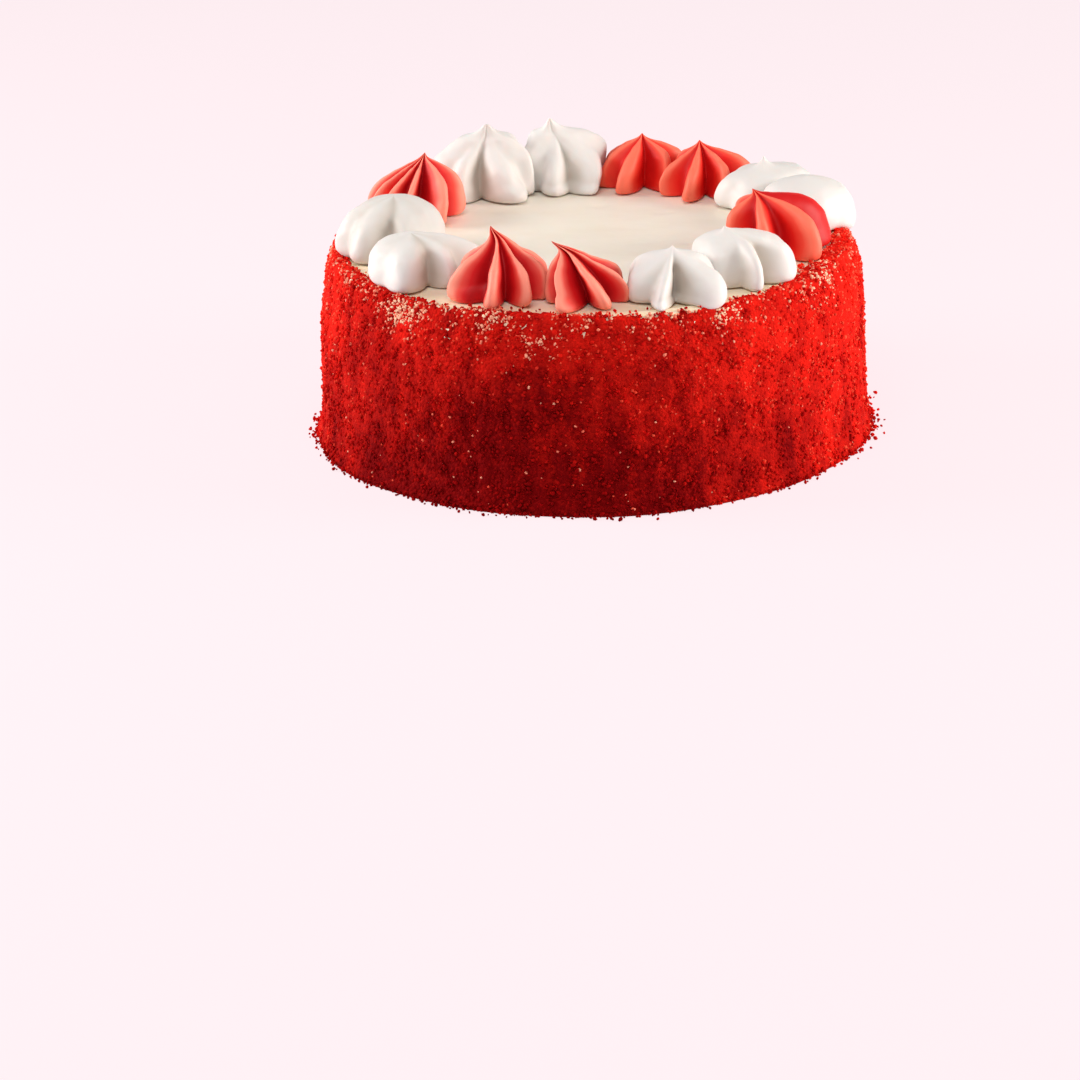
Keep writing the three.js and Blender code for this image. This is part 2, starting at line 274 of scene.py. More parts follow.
redShadeToHighlight = (linear(178, 6, 16), linear(216, 26, 30), linear(240, 84, 72), linear(252, 148, 126))
warmRedShadeToHighlight = (linear(196, 8, 12), linear(226, 28, 20), linear(240, 68, 48), linear(250, 116, 90))
whiteShadeToHighlight = (linear(186, 175, 163), linear(206, 198, 189), linear(220, 214, 208), linear(228, 223, 219))
finishes = {
    "coat": crumbFinish("crumbCoat", linear(116, 1, 4), linear(246, 34, 20), packed=950),
    "deepCrumbs": crumbFinish("deepCrumb", linear(122, 1, 4), linear(226, 18, 12)),
    "freshCrumbs": crumbFinish("freshCrumb", linear(140, 2, 5), linear(246, 34, 20)),
    # bright crumbs: the light end of their tones is partly painted glints
    "brightCrumbs": crumbFinish("brightCrumb", linear(186, 8, 9), linear(252, 88, 62)),
    "paleCrumbs": crumbFinish("paleCrumb", linear(236, 84, 60), linear(255, 226, 190)),
    "cream": creamFinish(),
    "red": pipingFinish("redPiping", redShadeToHighlight, glow=0.15, roughness=0.5),
    "warmRed": pipingFinish("warmRedPiping", warmRedShadeToHighlight, glow=0.15, roughness=0.5),
    "white": pipingFinish("whitePiping", whiteShadeToHighlight, glow=0.25, roughness=0.45),
}
print("finishes made")


def dress(piece, finish, slot, *nodes):
    piece.data.materials.clear()
    piece.data.materials.append(finishes[finish])
    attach(piece, "root")
    if nodes:
        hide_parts(*nodes)


# Turned pieces are raised ring by ring from a filled circle

def raiseRings(name, sides, rings, firstTurn=0):
    deselectAll()
    x, y, z, radius = rings[0]
    bpy.ops.mesh.primitive_circle_add(  # its first corner lies at 90 degrees
        vertices=sides, radius=radius * mm, fill_type="NGON",
        location=(x * mm, y * mm, z * mm), rotation=(0, 0, math.radians(firstTurn - 90)),
    )
    piece = bpy.context.active_object
    piece.name = name
    piece.data.name = name
    bpy.ops.object.transform_apply(location=True, rotation=True, scale=True)
    bpy.ops.object.mode_set(mode="EDIT")
    bpy.ops.mesh.select_all(action="SELECT")
    for nextX, nextY, nextZ, nextRadius in rings[1:]:
        step = ((nextX - x) * mm, (nextY - y) * mm, (nextZ - z) * mm)
        bpy.ops.mesh.extrude_region_move(TRANSFORM_OT_translate={"value": step})
        centre = (nextX * mm, nextY * mm, nextZ * mm)
        if nextRadius == 0:
            bpy.ops.mesh.merge(type="CENTER")
            break
        grow = nextRadius / radius
        bpy.ops.transform.resize(value=(grow, grow, 1), center_override=centre)
        x, y, z, radius = nextX, nextY, nextZ, nextRadius
    bpy.ops.mesh.select_all(action="SELECT")
    bpy.ops.mesh.normals_make_consistent(inside=False)
    bpy.ops.object.mode_set(mode="OBJECT")
    bpy.ops.object.shade_smooth()
    return piece


def applyModifier(piece, kind, **settings):
    deselectAll()
    piece.select_set(True)
    bpy.context.view_layer.objects.active = piece
    bpy.ops.object.modifier_add(type=kind)
    modifier = piece.modifiers[-1]
    for key, value in settings.items():
        setattr(modifier, key, value)
    bpy.ops.object.modifier_apply(modifier=modifier.name)


# The wall's outline, from the foot up over the shoulder to the cream

def wallRadius(height):
    taper = cake["wallTaper"] * (1 - 2 * height / cake["creamLevel"])
    return cake["radius"] + taper + cake["footFlare"] * math.exp(-height / cake["footFade"])


def wallOutline(step):  # points as radius and height, about a step apart
    rim, level = cake["rimRadius"], cake["creamLevel"]
    wallTop = level - cake["shoulderDrop"]
    count = round(wallTop / step)
    points = [(wallRadius(wallTop * i / count), wallTop * i / count) for i in range(count)]
    count = round(cake["shoulderLength"] * cake["shoulderDrop"] / step)
    for i in range(count + 1):
        share = i / count
        reach = (wallRadius(wallTop) - rim) * (1 - share ** cake["shoulderCurve"])
        points.append((rim + reach, wallTop + cake["shoulderDrop"] * share))
    for i in range(1, cake["rollSteps"] + 1):  # rolls over onto the flat top
        turned = math.sin(math.pi / 2 * i / cake["rollSteps"])
        points.append((rim - cake["rollIn"] * turned, level + cake["rollRise"] * turned))
    for reach in cake["flatRings"]:
        points.append((rim - reach, level + cake["rollRise"]))
    return points


def bodySwell(points):  # slow unevenness and the pinch on the left, as a move outwards
    around = directionOf(points)
    height = points[:, 2]
    swell = 0
    for depth, count, shift, fade in cake["waves"]:
        swell = swell + depth * np.sin(count * (around + np.pi / 2) + shift) * np.cos(height / fade)
    onLeft = (0.5 - 0.5 * np.cos(around)) ** 2
    pinch = cake["leftPinch"] * onLeft * smoothStep(cake["pinchFrom"], cake["pinchTo"], height)
    outside = np.clip((reachOf(points) - cake["waveFrom"]) / cake["waveWidth"], 0, 1)
    swell = outside * (cake["waveShare"] * swell - pinch)
    flat = points * (1, 1, 0)
    outwards = flat / np.maximum(np.linalg.norm(flat, axis=1, keepdims=True), 1e-6)
    return outwards * swell[:, None]


def inFromRim(points):  # distance in from the rim along the surface, below it negative
    reach = reachOf(points)
    below = np.hypot(reach - cake["rimRadius"], cake["creamLevel"] - points[:, 2])
    onTop = (reach < cake["rimRadius"]) & (points[:, 2] > cake["creamLevel"] - cake["rimHeight"])
    return np.where(onTop, cake["rimRadius"] - reach, -below)


crumbEdge = {  # how far in from the rim the crumbs end, as direction and distance
    "places": [(-180, 4), (-165, 4.5), (-148, 5), (-138, 3.5), (-130, 2), (-122, 1), (-112, 3),
               (-103, 3.6), (-95, 2.2), (-85, 0.6), (-70, -0.4), (-62, 0.8), (-54, 2.5), (-45, 3),
               (-37, 6), (-30, 7.5), (-10, 7), (5, 5), (30, 4), (90, 3.5), (150, 4)],
    "raggedness": 2.1,
    "layers": [(1, 4, 3), (0.7, 1.7, 4)],
}


def raggedEdge(points):
    first = crumbEdge["places"][0]
    directions, distances = zip(*crumbEdge["places"], (first[0] + 360, first[1]))
    edge = np.interp(np.degrees(directionOf(points)), directions, distances)
    return edge + crumbEdge["raggedness"] * grains(points, crumbEdge["layers"])


# random clouds and streaks, with painted shade at the front, on the right side and towards the foot
blotchesAndShade = {
    "clouds": 0.45, "cloudSize": (22, 22, 34), "cloudSeed": 33,
    "streaks": 0.55, "streakLayers": [(1, (6, 6, 18), 31), (0.6, (3, 3, 6), 32)],
    "level": 0.8,                                      # brightness away from the painted shade at the front
    "shadeCentre": -112, "deepen": 1.55, "focus": 2.6,     # the painted shade at the front: direction, amount, sharpness
    "rightShade": 0.18,
    "rise": 0.45, "frontRise": 0.6, "riseHeight": 66,  # painted shade towards the foot: brighter from the foot up, most at the front
}


def redBlotchesAndShade(points):  # streaky blotches and painted shade, from deep, -1, to bright, 1
    clouds = grain(points, blotchesAndShade["cloudSize"], blotchesAndShade["cloudSeed"])
    streaks = grains(points, blotchesAndShade["streakLayers"])
    around = directionOf(points)
    front = (0.5 + 0.5 * np.cos(around - math.radians(blotchesAndShade["shadeCentre"]))) ** blotchesAndShade["focus"]
    high = smoothStep(0, blotchesAndShade["riseHeight"], points[:, 2]) - 0.5
    rise = (blotchesAndShade["rise"] + blotchesAndShade["frontRise"] * front) * high
    # painted shade: darker at the front and a little on the right side
    sides = blotchesAndShade["level"] - blotchesAndShade["deepen"] * front - blotchesAndShade["rightShade"] * np.cos(around)
    return blotchesAndShade["clouds"] * clouds + blotchesAndShade["streaks"] * streaks + rise + sides


# Coat: the pressed crumbs under the loose ones

coat = {
    "sides": 420,
    "step": 1.5,
    "standOut": 0.2,
    "layers": [(0.7, (4, 4, 6), 1), (0.5, 1.8, 2)],  # clumps, crumbs
    "smoothFoot": 1.5,
    "sink": 2.0,      # goes under the cream where the crumbs end
    "edgeFade": 0.8,
}


def crumbCoat():
    rings = [(0, 0, z, r) for r, z in wallOutline(coat["step"])]
    piece = raiseRings("crumbCoat", coat["sides"], rings)
    points = readPoints(piece)
    past = inFromRim(points) - raggedEdge(points)
    bare = smoothStep(-coat["edgeFade"], coat["edgeFade"], past)
    rough = coat["standOut"] + grains(points, coat["layers"])
    free = smoothStep(0, coat["smoothFoot"], points[:, 2])
    push = free * (1 - bare) * rough - coat["sink"] * bare
    points += readNormals(piece) * push[:, None] + bodySwell(points)
    points[:, 2] = np.maximum(points[:, 2], 0)
    writePoints(piece, points)
    # tone: random blotches and the painted shade at the front and foot
    writeValues(piece.data, "tone", np.clip(0.5 + 0.5 * redBlotchesAndShade(points), 0, 1))
    dress(piece, "coat", "red_crumb", "cake_body")
    print("crumb coat", len(piece.data.vertices))


crumbCoat()


# Cream: flat top with a soft shoulder that shows where crumbs are thin

cream = {
    "sides": 240,
    "step": 1.2,
    "low": 60,         # the shoulder starts here, closed by a disc that stands in by lowIn
    "lowIn": 4,
    "inset": 0.35,     # stays this far inside the coat's outline
    "shoulderIn": 2.5,
    "rings": 40,
    "top": (66, 69.5),  # the heights between which the shoulder turns into the top
    "dip": 0.3, "dipLevel": 0.4, "layers": [(1, (26, 14, 30), 5), (0.4, (9, 5, 20), 6)],
    "dents": [(3.3, 46, 2.4, 1.1), (28, 33, 2, 0.8), (37, -9, 2.2, 0.7)],  # x, y, width, depth
    "dentStretch": 1.4,
    # strength of the painted warm shade near the rim, and the reaches over which it grows
    "warmRimShade": 0.8, "warmShadeReach": (70, 92),
}


def creamTop():
    shoulderFrom = cake["rimRadius"] - cream["shoulderIn"]
    outline = [(r, z) for r, z in wallOutline(cream["step"]) if z > cream["low"] and r > shoulderFrom]
    rim = [(0, 0, z, r - cream["inset"]) for r, z in outline]
    start = (0, 0, cream["low"], rim[0][3] - cream["lowIn"])
    inner, level, count = rim[-1][3], cake["creamLevel"], cream["rings"]
    flat = [(0, 0, level, inner * (1 - i / count)) for i in range(1, count)]
    piece = raiseRings("creamTop", cream["sides"], [start, *rim, *flat])
    points = readPoints(piece)
    onTop = smoothStep(*cream["top"], points[:, 2])
    points[:, 2] += cream["dip"] * onTop * (grains(points, cream["layers"]) - cream["dipLevel"])
    for x, y, width, depth in cream["dents"]:
        apart = np.hypot((points[:, 0] - x) / cream["dentStretch"], points[:, 1] - y)
        points[:, 2] -= depth * onTop * np.exp(-(apart / width) ** 2)
    points += bodySwell(points)
    writePoints(piece, points)
    # rim: the painted warm shade near the rim
    writeValues(piece.data, "rim", cream["warmRimShade"] * smoothStep(*cream["warmShadeReach"], reachOf(points)))
    dress(piece, "cream", "ivory_cream", "cream_top")
    print("cream top", len(piece.data.vertices))


creamTop()


# Swirls, in their order round the rim from the front to the right
# A height is a share from the foot, 0, to the tip, 1, and a pair of them is where a change runs

piping = {
    "columnsPerRib": 10,
    "rings": 24,
    "lift": 0.3,      # the foot's height over the cream's level
    "sink": 0.6,      # the foot presses into the cream
    "press": 4.5,     # how softly two swirls flatten each other
    "leanBack": 3.5,  # how far the pressed side leans back at the top
    "overlap": 1.6,   # how far neighbours reach into each other
    "droop": 0.55,    # how far a foot past the rim sinks down over it
    "droopIn": 2,     # it starts to sink this far inside the rim
    "skew": 0.07,     # one side of each rib is steeper
    "wobble": 0.06, "wobbleSeed": 60,  # how much the ribs' reaches differ
    "footRange": (0, 0.3), "calmRange": (0.5, 0.95), "raisedRange": (0.2, 0.6),
    "frontFocus": 1.5, "thinnest": 0.02,  # for swirls with another fullness to the front
    "shading": 2,     # how much painted shade darkens a fold's depth
    "hookRange": (0.72, 1), "hookCurve": 1.5,
    "spikeRange": (0.84, 0.98), "spikePull": 0.6,
    "layers": [(0.5, 9, 0), (0.25, 3.5, 20)], "unevenFoot": (0, 0.1), "unevenTop": (0.7, 0.95),
    "red": {"flat": 1.3, "footFlat": 0.75, "twist": 0.2, "smooth": 3, "calm": 0},
    "white": {"flat": 0.95, "footFlat": 0.6, "twist": 0.2, "smooth": 4, "calm": 0.9},
}
swirlFoot = cake["creamLevel"] + piping["lift"]
outlines = [  # as shares of the radius and the height
    [(0.91, 0), (1, 0.08), (1.01, 0.2), (0.93, 0.34), (0.71, 0.5),       # fullness 0, slender
     (0.42, 0.62), (0.21, 0.75), (0.11, 0.86), (0.055, 0.93), (0.0, 1)],
    [(0.93, 0), (1.01, 0.09), (1.03, 0.24), (0.99, 0.43), (0.91, 0.58),  # fullness 1, full
     (0.77, 0.7), (0.52, 0.8), (0.2, 0.88), (0.06, 0.94), (0.0, 1)],
    [(0.9, 0), (1, 0.1), (1.03, 0.27), (0.99, 0.47), (0.88, 0.66),       # fullness 2, domed
     (0.72, 0.8), (0.52, 0.91), (0.3, 0.97), (0.12, 0.995), (0.0, 1)],
]
# Every swirl: lean: how far the axis has moved at the top; hook: how far the tip is bent over;
# ribs: their directions; valleys: how deep the fold after each rib is, where 1 is none
# Some swirls: front: the fullness on the front, camera side; gains: how far each rib reaches; skews:
# where each fold lies between its ribs; flares: low bulges, as direction, half width, reach and
# height; raised: direction and lift of a higher shoulder; spike: lift of a drawn-out tip; twist:
# turn of the ribs up to the top, in radians; calm: how far folds and their painted shade fade at
# the top; push: how far it spreads over its neighbours; over: how it leans over them; shade:
# painted light where above 0, painted shade where below, over the whole swirl; shadedSide: a side
# with more painted shade; warm: a warmer red
swirls = [
    {"name": "red_1", "x": -31.5, "y": -67.5, "radius": 19.3, "height": 26, "fullness": 0.1,
     "lean": (-1, 0), "hook": (-2, 0, -0.5), "ribs": (-166, -103, -60, -18, 30, 80, 135),
     "valleys": (0.34, 0.38, 0.5, 0.5, 0.5, 0.5, 0.5), "flares": [(-138, 16, 5, 0.22)]},
    {"name": "red_2", "x": -1.6, "y": -73.5, "radius": 17.4, "height": 21.7, "fullness": 0.25,
     "lean": (-9, 0), "hook": (-3, 0, -0.5), "ribs": (-165, -116, -64, -15, 40, 90, 140), "twist": -0.45,
     "gains": (0.9, 1, 1, 1.05, 1, 1, 1), "valleys": (0.45, 0.34, 0.45, 0.5, 0.5, 0.5, 0.5),
     "flares": [(-122, 20, 3.5, 0.25)]},
    {"name": "white_1", "x": 28, "y": -72, "radius": 18.5, "height": 18, "fullness": 0.9, "front": 0.2,
     "lean": (0, 0), "hook": (0.5, 0, 0), "ribs": (-165, -106, -38, 20, 75, 130),
     "gains": (1, 0.98, 1.16, 1, 1, 1), "valleys": (0.72, 0.3, 0.85, 0.85, 0.85, 0.85),
     "skews": (0.65, 0.3, 0.6, 0.5, 0.5, 0.5), "flares": [(-90, 20, 4, 0.15)]},
    {"name": "white_2", "x": 54, "y": -53, "radius": 19.3, "height": 19, "fullness": 1.1,
     "lean": (-6, 0), "hook": (-1, 0, 0), "ribs": (-150, -78, -20, 35, 80, 140), "raised": [(-20, 2)],
     "gains": (1.04, 1.04, 1, 1, 1, 1), "valleys": (0.72, 0.5, 0.92, 0.92, 0.9, 0.9),
     "skews": (0.75, 0.28, 0.5, 0.5, 0.5, 0.5), "front": 0.7},
    {"name": "red_3", "x": 68.5, "y": -21.5, "radius": 20, "height": 23.5, "fullness": 0.9,
     "lean": (-9, 0), "hook": (-1, 0, 0), "ribs": (-172, -112, -50, 25, 75, 130), "raised": [(25, 3)],
     "gains": (0.92, 0.97, 1.05, 1.06, 1, 1), "valleys": (0.5, 0.45, 0.38, 0.6, 0.5, 0.5),
     "skews": (0.5, 0.35, 0.45, 0.5, 0.5, 0.5), "warm": True, "shadedSide": (25, 0.7)},
    {"name": "white_3", "x": 80, "y": 15, "radius": 18.5, "height": 17.5, "fullness": 1.7,
     "lean": (0, 0), "hook": (0, 0, 0), "ribs": (-155, -90, -20, 30, 80, 140),
     "valleys": (0.9, 0.92, 0.92, 0.9, 0.85, 0.85)},
    {"name": "white_4", "x": 66, "y": 42.5, "radius": 18.8, "height": 15.4, "fullness": 1.3, "spike": 2.6,
     "lean": (0, 0), "hook": (0, 0, 0), "ribs": (-175, -120, -60, -10, 50, 115), "raised": [(-5, 2.5)],
     "valleys": (0.88, 0.8, 0.92, 0.92, 0.85, 0.85)},
    {"name": "red_4", "x": 43.5, "y": 61, "radius": 19, "height": 20, "fullness": 0.5,
     "lean": (-1, 0), "hook": (0, 0, 0), "ribs": (-165, -112, -60, -5, 50, 95, 140), "warm": True,
     "gains": (1, 1.03, 1.02, 1.1, 1, 1, 1), "valleys": (0.55, 0.34, 0.5, 0.6, 0.5, 0.5, 0.5),
     "push": 1.5, "raised": [(-5, 2)], "shade": 0.05},
    {"name": "red_5", "x": 20, "y": 73.5, "radius": 18.6, "height": 20, "fullness": 0.6,
     "lean": (1, 0), "hook": (0, 0, 0), "ribs": (-175, -118, -48, 5, 50, 95, 140), "warm": True,
     "gains": (1.05, 1.02, 1.12, 1, 1, 1, 1), "valleys": (0.6, 0.3, 0.6, 0.6, 0.5, 0.5, 0.5),
     "push": 3.2, "raised": [(-10, 1.5)], "shade": 0.1},
    {"name": "white_5", "x": -8.5, "y": 74.5, "radius": 19, "height": 23.4, "fullness": 1.6, "front": 0.1,
     "lean": (-5.5, 0), "hook": (-0.5, 0, 0), "spike": 3.2, "ribs": (-165, -108, -45, 12, 65, 125),
     "raised": [(10, 2), (-175, 2)],
     "gains": (1.12, 0.95, 1.05, 1.18, 1.05, 1), "valleys": (0.78, 0.5, 0.85, 0.9, 0.85, 0.85),
     "skews": (0.5, 0.35, 0.5, 0.5, 0.5, 0.5), "flares": [(-80, 32, 4, 0.16)], "over": 0.35,
     "leanBack": 1.5, "shade": 0.2},
    {"name": "white_6", "x": -40.5, "y": 65.5, "radius": 19.5, "height": 24.2, "fullness": 1.7, "front": 0,
     "lean": (1.5, 0), "hook": (0.5, 0, 0), "spike": 3, "ribs": (-170, -118, -50, -2, 50, 125),
     "raised": [(-175, 3), (0, 4)],
     "gains": (1.1, 0.95, 1.04, 1.22, 1, 1), "valleys": (0.8, 0.45, 0.85, 0.9, 0.85, 0.85),
     "skews": (0.6, 0.35, 0.5, 0.5, 0.5, 0.5), "flares": [(-45, 18, 4, 0.25)], "twist": -0.25, "over": 0.35,
     "leanBack": 1.5},
    {"name": "red_6", "x": -65.6, "y": 38.5, "radius": 18.3, "height": 24, "fullness": 0.6,
     "lean": (4.5, 0), "hook": (0, 0, 0), "ribs": (175, -158, -132, -105, -62, -5, 50, 115), "shade": -0.06,
     "gains": (1, 1, 1, 0.95, 1.22, 1.05, 1, 1), "valleys": (0.6, 0.6, 0.55, 0.42, 0.6, 0.7, 0.5, 0.5),
     "raised": [(-8, 3)]},
    {"name": "white_7", "x": -72, "y": -12, "radius": 20, "height": 20.5, "fullness": 2,
     "lean": (1, 3), "hook": (0, 0, 0), "ribs": (-175, -132, -75, -25, 45, 115),
     "gains": (1, 1.03, 1, 1, 1, 1), "valleys": (0.86, 0.62, 0.94, 0.96, 0.9, 0.9),
     "skews": (0.5, 0.62, 0.5, 0.5, 0.5, 0.5), "calm": 0.4, "shade": -0.3},
    {"name": "white_8", "x": -60.5, "y": -46.5, "radius": 18.3, "height": 16.5, "fullness": 1.8,
     "lean": (-3, 3), "hook": (0, 0, 0), "ribs": (-170, -110, -48, 8, 80, 145), "raised": [(-140, 2)],
     "gains": (0.98, 1.08, 0.9, 1.3, 1, 1), "valleys": (0.9, 0.48, 0.75, 0.9, 0.9, 0.9),
     "skews": (0.5, 0.62, 0.5, 0.5, 0.5, 0.5), "calm": 0.45, "shade": -0.15},
]


def swirlOutline(fullness):  # a soft curve through points between two of the outlines
    k = min(int(fullness), len(outlines) - 2)
    share = fullness - k
    corners = [
        (a + (c - a) * share, b + (d - b) * share)
        for (a, b), (c, d) in zip(outlines[k], outlines[k + 1])
    ]
    corners = [corners[0], *corners, corners[-1]]
    curve = []
    for i in range(piping["rings"] + 1):
        place = i / piping["rings"] * (len(corners) - 3)
        k = min(int(place), len(corners) - 4)
        t = place - k
        a, b, c, d = (np.array(corner) for corner in corners[k:k + 4])
        curve.append(0.5 * (2 * b + (c - a) * t
                            + (2 * a - 5 * b + 4 * c - d) * t ** 2
                            + (3 * b - a - 3 * c + d) * t ** 3))
    return [(max(0.0, float(r)), float(h)) for r, h in curve]


def frontShare(swirl, share, direction):  # blends to another outline towards the photo's side
    def radiusOf(fullness):
        outline = np.array(swirlOutline(fullness))
        return np.maximum(np.interp(share, outline[:, 1], outline[:, 0]), piping["thinnest"])
    facing = (0.5 - 0.5 * np.sin(direction)) ** piping["frontFocus"]
    return 1 + facing * (radiusOf(swirl["front"]) / radiusOf(swirl["fullness"]) - 1)


def ribPlaces(swirl, flat):  # direction, the fold it lies in, the nearest rib, and how far from it
    count = len(swirl["ribs"])
    ribs = np.array([*swirl["ribs"], swirl["ribs"][0] + 360], float)
    ribs[1:] += 360 * (ribs[1:] < ribs[0])
    around = np.degrees(directionOf(flat)) - ribs[0]
    phase = (around % 360) / 360 * count
    phase[phase > count - 1e-4] = 0
    direction = np.radians(np.interp(phase, np.arange(count + 1), ribs))
    step = phase - np.floor(phase)
    fold = np.floor(phase).astype(int) % count
    valley = np.array(swirl.get("skews", (0.5 + piping["skew"],) * count))[fold]
    fromCrest = np.where(step < valley, step / valley, (1 - step) / (1 - valley))
    nearest = (fold + (step >= valley)) % count
    return direction, fold, nearest, fromCrest


def ribbed(points, swirl, style, order):  # draws the round cone in between its ribs
    share = np.clip((points[:, 2] - swirlFoot) / swirl["height"], 0, 1)
    axis = np.array((swirl["x"], swirl["y"])) + np.outer(share ** 2, swirl["lean"])
    flat = points[:, :2] - axis
    radius = np.linalg.norm(flat, axis=1)
    direction, fold, nearest, fromCrest = ribPlaces(swirl, flat)
    direction += swirl.get("twist", style["twist"]) * share
    count = len(swirl["ribs"])
    random = np.random.default_rng(piping["wobbleSeed"] + order)
    wobble = 1 + piping["wobble"] * (random.random(count) - 0.5)
    gain = (wobble * swirl.get("gains", (1,) * count))[nearest]
    aboveFoot = smoothStep(*piping["footRange"], share)
    narrow = style["footFlat"] + (style["flat"] - style["footFlat"]) * aboveFoot
    wave = (0.5 + 0.5 * np.cos(np.pi * fromCrest)) ** narrow
    valleys = np.array(swirl["valleys"])[fold]
    valleys += (1 - valleys) * swirl.get("calm", style["calm"]) * smoothStep(*piping["calmRange"], share)
    # depth: painted shade in each fold, lightest at the crest as a painted highlight
    depth = np.clip(1 - piping["shading"] * (1 - wave) * (1 - valleys), 0, 1)
    # painted shade on one side of the swirl
    if "shadedSide" in swirl:
        shadeTo, shadeAmount = swirl["shadedSide"]
        depth = depth - shadeAmount * np.maximum(0, np.cos(direction - math.radians(shadeTo))) ** 2
    if "front" in swirl:
        radius = radius * frontShare(swirl, share, direction)
    reach = radius * (valleys + (gain - valleys) * wave)
    for flareTo, halfWidth, flare, top in swirl.get("flares", []):
        apart = degreesApart(np.degrees(direction), flareTo)
        bead = np.sqrt(np.clip(1 - (share / top) ** 2, 0, 1))
        reach += flare * bead * np.exp(-(apart / halfWidth) ** 2)
    points[:, 0] = axis[:, 0] + reach * np.cos(direction)
    points[:, 1] = axis[:, 1] + reach * np.sin(direction)
    for raisedTo, lift in swirl.get("raised", []):
        towards = np.maximum(0, np.cos(direction - math.radians(raisedTo)))
        risen = smoothStep(*piping["raisedRange"], share)
        points[:, 2] += lift * towards * risen * radius / swirl["radius"]
    past = np.maximum(0, reachOf(points) - cake["rimRadius"] + piping["droopIn"])
    points[:, 2] -= piping["droop"] * past * (1 - share) ** 2
    return share, depth


def pressedIn(points, share, swirl, others):  # flattened softly where neighbours touch
    centre = np.array((swirl["x"], swirl["y"]))
    leanBack = swirl.get("leanBack", piping["leanBack"])
    for other in others:
        across = np.array((other["x"], other["y"])) - centre
        distance = np.linalg.norm(across)
        across = across / distance
        border = distance / 2 + (swirl["radius"] ** 2 - other["radius"] ** 2) / (2 * distance)
        border += swirl.get("push", 0) - other.get("push", 0)
        over = swirl.get("over", 0) - other.get("over", 0)
        limit = border + piping["overlap"] - piping["press"] - leanBack * share ** 2
        limit += over * (points[:, 2] - swirlFoot)
        passed = np.maximum((points[:, :2] - centre) @ across - limit, 0)
        kept = piping["press"] * (1 - np.exp(-passed / piping["press"]))
        points[:, :2] -= np.outer(passed - kept, across)


def swirlRings(swirl):
    rings = []
    for radius, height in swirlOutline(swirl["fullness"]):
        rings.append((
            swirl["x"] + swirl["lean"][0] * height ** 2,
            swirl["y"] + swirl["lean"][1] * height ** 2,
            swirlFoot + swirl["height"] * height - (piping["sink"] if height == 0 else 0),
            radius * swirl["radius"],
        ))
    return rings


def pipedSwirl(order):
    swirl = swirls[order]
    colour = swirl["name"].split("_")[0]
    style = piping[colour]
    columns = len(swirl["ribs"]) * piping["columnsPerRib"]
    piece = raiseRings("piped_" + swirl["name"], columns, swirlRings(swirl), swirl["ribs"][0])
    applyModifier(piece, "SUBSURF", levels=1, render_levels=1)
    points = readPoints(piece)
    share, depth = ribbed(points, swirl, style, order)
    pressedIn(points, share, swirl, [swirls[(order + 1) % len(swirls)], swirls[order - 1]])
    bend = smoothStep(*piping["hookRange"], share) ** piping["hookCurve"]
    points += np.outer(bend, swirl["hook"])
    writePoints(piece, points)
    applyModifier(piece, "SMOOTH", factor=0.5, iterations=style["smooth"])
    points = readPoints(piece)
    uneven = grains(points, piping["layers"], order)
    free = smoothStep(*piping["unevenFoot"], share) * (1 - smoothStep(*piping["unevenTop"], share))
    points += readNormals(piece) * (uneven * free)[:, None]
    if "spike" in swirl:
        top = points[np.argmax(share), :2]
        drawn = smoothStep(*piping["spikeRange"], share)[:, None]
        points[:, :2] += (top - points[:, :2]) * piping["spikePull"] * drawn
        points[:, 2] += swirl["spike"] * drawn[:, 0] ** 2
    writePoints(piece, points)
    # fold: the painted shade and highlight, shifted by the swirl's shade
    writeValues(piece.data, "fold", np.clip(depth + swirl.get("shade", 0), 0, 1))
    finish = "warmRed" if swirl.get("warm") else colour
    dress(piece, finish, colour + "_piping", "swirl_" + swirl["name"])


for order in range(len(swirls)):
    pipedSwirl(order)
print("swirls piped")


# Crumbs: a few shapes, copied many times into one mesh for each colour

# patchOrShade: -1 gathers a kind as painted shade, in the dark blotches and at the front and foot,
# 1 as painted light, in the bright blotches and on the lit sides, and 0 in both; mixed: how far the
# tones differ; loose: how many of them lie round the foot
crumbKinds = {
    "deepCrumbs": {"count": 8600, "seed": 11, "size": (0.7, 2.4), "slot": "red_crumb", "patchOrShade": -1,
                   "mixed": 0.18, "loose": 500},
    "freshCrumbs": {"count": 9600, "seed": 12, "size": (0.7, 2.6), "slot": "red_crumb", "patchOrShade": 0,
                    "mixed": 0.18, "loose": 260},
    "brightCrumbs": {"count": 8600, "seed": 13, "size": (0.6, 2.1), "slot": "red_crumb", "patchOrShade": 1,
                     "mixed": 0.25},
    "paleCrumbs": {"count": 4000, "tries": 24, "seed": 14, "size": (0.7, 2.0), "slot": "ivory_cream",
                   "mixed": 0.35},
}
scatter = {
    "tries": 6,              # places tried for each crumb, where the kind names no other number
    "outlineStep": 0.5, "slopeReach": 0.3,
    "edgeFade": (-0.2, 1.4), "strays": 0.1, "strayFade": (1, 6),  # past the edge, onto the cream
    "clumpSize": (5, 5, 8), "keep": 0.5, "clumping": 0.3,  # share kept, more in clumps
    "choosy": 1.5, "notChoosy": 0.6,     # how closely a kind keeps to its blotches and painted shade
    "looseGap": 0.2, "looseSpread": 0.9, "looseHeight": 0.5,      # fallen crumbs round the foot
    "sizeCurve": (1.3, 3.2),
    "lift": 0.1, "liftSpread": 0.2,
}
